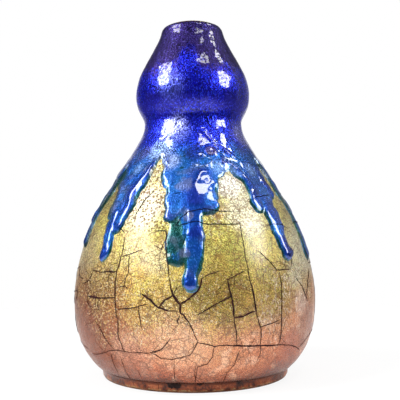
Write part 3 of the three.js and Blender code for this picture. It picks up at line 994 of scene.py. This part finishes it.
# It rounds off in a quarter circle under the lip, and sinks at its lowest row.
closing = 1.6
rounding = np.sqrt(np.clip((coat_high - glass_z) / closing, 0.02, 1))
lift = np.where(glass_z > coat_high - closing, lift * rounding, lift)
lift = np.where(glass_z < lowest_glass + 0.3, -0.3, lift)
lift = np.where(face, lift, 0)
out_part, up_part = wall_normal(glass_z)
set_wall_places(glass_mesh, glass_radius + lift * out_part, glass_angle, glass_z + lift * up_part)
# The glass's colour follows its depth.
depth_of_glass = glass_mesh.attributes.new("depth", "FLOAT", "POINT")
depth_of_glass.data.foreach_set("value", np.maximum(lift, 0).astype(np.float32))
add_piece(
    "cobalt_glass", glass_mesh, cobalt_enamel(), "cobalt_enamel",
    "cobalt_coat", "front_runs", "right_runs", "far_right_runs", "rear_right_runs", "back_right_runs",
    "back_runs", "back_left_runs", "rear_left_runs", "far_left_runs", "left_runs",
)

# Crackle
# The ground coat crazed as it cooled, and kiln dirt and age have filled the cracks dark brown.
# The front's cracks lie where the photograph has them. Each is a line of (angle, height).
crackle_front = [
    [(-34, 78), (-33.5, 70), (-34.5, 64), (-35.5, 60), (-35.5, 55), (-35, 46), (-34.5, 42),
     (-33.5, 37), (-34, 30), (-33, 25), (-32, 20.5)],
    [(-39, 82), (-34, 78.5)], [(-52, 60), (-45, 59.4), (-35.5, 60)], [(-39, 60), (-40, 55)],
    [(-52, 60), (-53, 56), (-56, 54), (-61, 53)],
    [(-53.5, 47), (-44, 46.6), (-35, 47.5)], [(-54, 49), (-54, 44), (-51, 41.5)],
    [(-46, 45), (-45, 40.5)], [(-48, 35), (-44, 30), (-41, 25), (-38, 21)],
    [(-34, 67.5), (-29.5, 68.5), (-23, 71)], [(-29.5, 68.5), (-29, 60), (-30.5, 53)],
    [(-34.5, 52.5), (-30, 53), (-27, 52)],
    [(-22, 50), (-18, 47), (-14.5, 43.5), (-11, 42), (-7, 42)],
    [(-14.5, 43.5), (-12, 47), (-9, 49)], [(-19, 45), (-24, 43.5), (-34, 41.5)],
    [(-12.5, 80), (-12, 70), (-11, 62), (-10, 55), (-9, 50), (-6, 45), (-6, 42), (-4.5, 40),
     (-2.5, 37), (-1, 33), (1, 27.5)],
    [(-6, 45), (-3, 47), (1, 51), (2.5, 54), (3, 57), (6, 59), (10, 60.5)],
    [(-6, 40), (-7, 36)], [(-23.5, 44), (-22, 33)],
    [(-59.5, 16), (-52, 17.2), (-44, 19.6), (-36.5, 21.3), (-28, 20.8), (-19.5, 21)],
    [(-19.5, 21.5), (-15, 19), (-10, 18.5), (-2, 21), (1, 27)],
    [(-19.5, 21.5), (-14, 23.5), (-10, 29)],
    [(-41, 19), (-43, 9), (-45, 6.5)], [(-35.5, 18), (-36.5, 9), (-37, 2.2)],
    [(-28, 12), (-28.5, 6), (-28.5, 1.5)], [(-20, 8), (-20.5, 1.6)],
    [(-9, 18), (-10, 8), (-10, 5)], [(0, 15), (0, 8), (0.3, 1.2)], [(30, 9), (31, 1.6)],
    [(-18, 80), (-13.5, 80), (-12.5, 76), (-14.5, 71), (-18, 73)],
    [(-23.5, 100.5), (-28.5, 95), (-31, 88)],
    [(22.5, 84), (22.5, 66), (23, 60), (24, 53), (25, 46), (26, 40), (28, 33), (28.5, 24),
     (29.5, 20), (29, 15)],
    [(13.5, 57), (14, 52), (15, 48), (16, 38), (17, 32), (17.5, 25)],
    [(15, 48.5), (10, 46), (1, 40)], [(16, 38.5), (20, 39), (25.5, 41)],
    [(13.5, 56), (18, 58.5), (22.5, 61)],
    [(1, 27), (8, 25), (15, 25), (28, 24), (40, 23), (48, 21.5), (60, 17)],
    [(8, 25), (7.5, 20), (5, 16), (1, 14.5), (0, 5.4)],
    [(28.5, 70), (33, 66), (38, 60), (48, 60)], [(39.5, 59), (39, 42), (39.5, 24)],
    [(48.5, 61), (51, 70)], [(50, 56.5), (55, 51), (60, 43)], [(28, 33), (38, 35.5)],
    [(19, 22), (17.5, 15), (15, 11), (14.5, 1.8)],
    [(-9, 82), (-6, 86), (-3, 88.5), (5, 90), (21, 89.5)], [(-8, 82), (1, 84), (10, 83), (22, 83)],
    [(35, 96), (49, 98)], [(37, 82.5), (50, 82), (55, 81)], [(-11, 98), (-7, 98.5)],
    [(13, 146), (18, 137)],
]

# These gape wider than the others.
crackle_wide = [
    [(-22, 50), (-18, 47), (-14.5, 43.5), (-11, 42)], [(-14.5, 43.5), (-12, 47), (-9, 49)],
    [(-9.5, 52), (-9, 50), (-6, 45), (-6, 42), (-4.5, 40), (-2.5, 37)],
    [(-6, 45), (-3, 47), (1, 51), (2.5, 54), (3, 57)],
    [(13.5, 57), (14, 52), (15, 48), (16, 38)], [(16, 38.5), (20, 39), (25.5, 41)],
    [(24, 53), (25, 46), (26, 40)], [(-53.5, 47), (-44, 46.6), (-35, 47.5)], [(-40, 60.4), (-35.5, 60)],
    [(-35.5, 60), (-35.5, 55), (-35, 46)], [(15, 48.5), (10, 46)], [(16, 25), (28, 24), (40, 23)],
]


def crack_splines(lines, width, seed, curve):
    """Threads of dirt along the lines, with a knot every millimetre or so and a slight sway."""
    chance = random.Random(seed)
    belly_degree = 1.1
    knot_step = 1.3
    for line in lines:
        points = []
        for (a0, z0), (a1, z1) in zip(line, line[1:]):
            length = math.hypot((a1 - a0) * belly_degree, z1 - z0)
            count = max(2, round(length / knot_step))
            sway = chance.uniform(-0.35, 0.35)
            for k in range(count):
                t = k / count
                bow = math.sin(t * math.pi) * sway
                points.append((
                    a0 + (a1 - a0) * t + chance.gauss(0, 0.07) + bow,
                    z0 + (z1 - z0) * t + chance.gauss(0, 0.08) + bow,
                ))
        points.append(line[-1])
        angles, heights = np.array(points).T
        face = np.maximum(ground_face(angles, heights), glass_face(angles, heights))
        spline = curve.splines.new("POLY")
        spline.points.add(len(points) - 1)
        for k, (point, (angle, z)) in enumerate(zip(spline.points, points)):
            if z > coat_low:
                point.co = (*on_wall(angle, z, float(face[k]) - 0.04), 1.0)
            else:
                turn = math.radians(angle)
                reach = (coat_over - 0.12 - 0.1 * (coat_shoulder - min(z, coat_shoulder))) * MM
                point.co = (reach * math.sin(turn), -reach * math.cos(turn), z * MM, 1.0)
            ends = min(1.0, 0.55 + 0.2 * min(k, len(points) - 1 - k))
            low_down = 0.78 + 0.22 * min(1.0, max(0.0, (z - 12) / 16))
            point.radius = width * ends * low_down * chance.uniform(0.8, 1.25)


def hairlines(lines, seed, count):
    """Fine cracks that leave the main ones at a wide angle and wander off."""
    chance = random.Random(seed)
    fine_lines = []
    while len(fine_lines) < count:
        line = chance.choice(lines)
        knot = chance.randrange(len(line) - 1)
        along = chance.random()
        angle, z = (here + (there - here) * along for here, there in zip(line[knot], line[knot + 1]))
        if not 7 < z < 72:
            continue
        heading = chance.choice((0, 90, 180, 270)) + chance.gauss(0, 22)
        hair = [(angle, z)]
        for _ in range(chance.randint(2, 5)):
            heading += chance.gauss(0, 24)
            angle += 2.4 * math.cos(math.radians(heading))
            z = max(5.6, z + 2.6 * math.sin(math.radians(heading)))
            hair.append((angle, z))
        fine_lines.append(hair)
    return fine_lines


def crack_filling():
    finish = Finish("crack_filling", Roughness=0.8, Specular_IOR_Level=0.1)
    dirt = finish.noise(0.3).ramp((0.35, (0.012, 0.004, 0.006)), (0.7, (0.045, 0.012, 0.012)))
    dirt = (1 - finish.height.ease(10, 26)).mix(dirt, (0.075, 0.02, 0.011))
    finish.set("Base Color", finish.height.ease(74, 82).mix(dirt, (0.001, 0.002, 0.012)))
    return finish.material


thread_radius = 0.22


def crackle_piece(name, networks):
    """One piece from networks of cracks, each (lines, how many threads wide, seed)."""
    curve = bpy.data.curves.new(name, "CURVE")
    curve.dimensions = "3D"
    curve.bevel_depth = thread_radius * MM
    curve.bevel_resolution = 0
    curve.use_fill_caps = True
    for lines, width, seed in networks:
        crack_splines(lines, width, seed, curve)
    rough = bpy.data.objects.new(name, curve)
    bpy.context.scene.collection.objects.link(rough)
    bpy.context.view_layer.update()
    mesh = bpy.data.meshes.new_from_object(rough.evaluated_get(bpy.context.evaluated_depsgraph_get()))
    bpy.data.objects.remove(rough)
    mesh.name = name
    mesh.materials.clear()
    add_piece(name, mesh, crack_filling(), "rose_enamel")


def turned_lines(lines, middle, flip):
    """The same habit of cracking elsewhere on the belly: turned, mirrored and shifted a little."""
    return [
        [(middle + flip * a, max(5.4, z + 2.5 * math.sin(a / 17 + middle))) for a, z in line]
        for line in lines
    ]


crackle_piece("front_crackle", [
    (crackle_front, 1.35, 5),
    (crackle_wide, 2.0, 3),
    (hairlines(crackle_front, 21, 170), 0.55, 22),
])
crackle_piece("rear_crackle", [
    (turned_lines(crackle_front, 118, -1), 1.35, 6),
    (turned_lines(crackle_front, 238, -1), 1.35, 8),
])

# Floor, light and camera
# A white sweep, a tall window of light on the left, a lower one on the right, and two small
# high lamps. The camera stands where the photograph's stood.


def white_floor():
    """Pale paper, lit enough to show the vase's shadow, that fades out into the white behind."""
    material = bpy.data.materials.new("white_floor")
    material.use_nodes = True
    tree = material.node_tree
    paper = tree.nodes["Principled BSDF"]
    paper.inputs["Base Color"].default_value = (0.9, 0.9, 0.9, 1)
    paper.inputs["Roughness"].default_value = 0.9
    start = Signal(tree)
    seen = start.node("ShaderNodeLightPath")
    glow = start.node("ShaderNodeEmission")
    lit = start.node("ShaderNodeMixShader", {0: seen * 0.85, 1: Signal(tree, paper.outputs[0]), 2: glow})
    place = start.node("ShaderNodeTexCoord", output=3)
    away = place.vector("LENGTH", output=1)
    clear = start.node("ShaderNodeBsdfTransparent")
    mixed = start.node("ShaderNodeMixShader", {0: away.ease(0.1, 0.45), 1: lit, 2: clear})
    tree.links.new(mixed.socket, tree.nodes["Material Output"].inputs["Surface"])
    return material


floor_radius = 0.55
floor_shape = bmesh.new()
bmesh.ops.create_circle(floor_shape, cap_ends=True, segments=96, radius=floor_radius)
floor_mesh = bpy.data.meshes.new("floor")
floor_shape.to_mesh(floor_mesh)
floor_shape.free()
floor = bpy.data.objects.new("floor", floor_mesh)
bpy.context.scene.collection.objects.link(floor)
floor_mesh.materials.append(white_floor())

# The white sweep stands behind the vase, and comes round dimmer on its right. The room in
# front of it is dark.
world = bpy.data.worlds.new("studio")
bpy.context.scene.world = world
world.use_nodes = True
sky = Signal(world.node_tree)
seen = sky.node("ShaderNodeLightPath")
mirrored = sky.node("ShaderNodeLightPath", output=3)
through = sky.node("ShaderNodeLightPath", output=6)
direction = sky.node("ShaderNodeTexCoord", output=0)
back = direction.part(1)
beside = direction.part(0).ease(0.5, 0.8) * back.ease(0.05, 0.35)
in_glass = mirrored.math("MAXIMUM", through) * (back.ease(0.8, 0.98) * 0.94 + beside * 0.35 + 0.06)
on_matt = 1 - seen.math("MAXIMUM", mirrored.math("MAXIMUM", through))
strength = seen.math("MAXIMUM", in_glass) + on_matt * 0.45
background = world.node_tree.nodes["Background"]
background.inputs["Color"].default_value = (1, 1, 1, 1)
world.node_tree.links.new(strength.socket, background.inputs["Strength"])

vase_middle = Vector((0, 0, 0.11))
lamp_distance = 1.1


def soft_light(name, azimuth, elevation, width, height, lean, radiance):
    """An area lamp that faces the vase. Azimuth counts from the camera's side to the right."""
    lamp = bpy.data.lights.new(name, "AREA")
    lamp.shape = "RECTANGLE"
    lamp.size, lamp.size_y = width, height
    lamp.energy = radiance * math.pi * width * height
    turn, rise = math.radians(azimuth), math.radians(elevation)
    away = Vector((math.sin(turn) * math.cos(rise), -math.cos(turn) * math.cos(rise), math.sin(rise)))
    facing = away.to_track_quat("Z", "Y").to_matrix().to_4x4() @ Matrix.Rotation(math.radians(lean), 4, "Z")
    stand = bpy.data.objects.new(name, lamp)
    stand.matrix_world = Matrix.Translation(vase_middle + away * lamp_distance) @ facing
    bpy.context.scene.collection.objects.link(stand)


soft_light("left_window", -66, 38, 0.47, 0.82, 24, 14.5)
soft_light("right_window", 69, 28, 0.38, 0.5, -20, 14.0)
soft_light("high_lamp", 36, 64, 0.31, 0.17, 0, 12.0)
soft_light("side_lamp", 94, 55, 0.18, 0.15, 0, 18.0)

# The camera as it was fitted to the photograph's outline, in metres, degrees and pixels.
camera_place = (0, -0.3676, 0.0758)
camera_pitch = 3.53
camera_roll = -0.55
photo_focal = 631.2
photo_width = 400.0
axis_from_middle = 6.3
sensor_width = 36.0
camera_data = bpy.data.cameras.new("camera")
camera_data.sensor_width = sensor_width
camera_data.lens = sensor_width * photo_focal / photo_width
camera_data.shift_x = axis_from_middle / photo_width
camera = bpy.data.objects.new("camera", camera_data)
camera.matrix_world = (
    Matrix.Translation(camera_place)
    @ Matrix.Rotation(math.radians(90 + camera_pitch), 4, "X")
    @ Matrix.Rotation(math.radians(camera_roll), 4, "Z")
)
bpy.context.scene.collection.objects.link(camera)
bpy.context.scene.camera = camera
bpy.context.scene.view_settings.view_transform = "Standard"
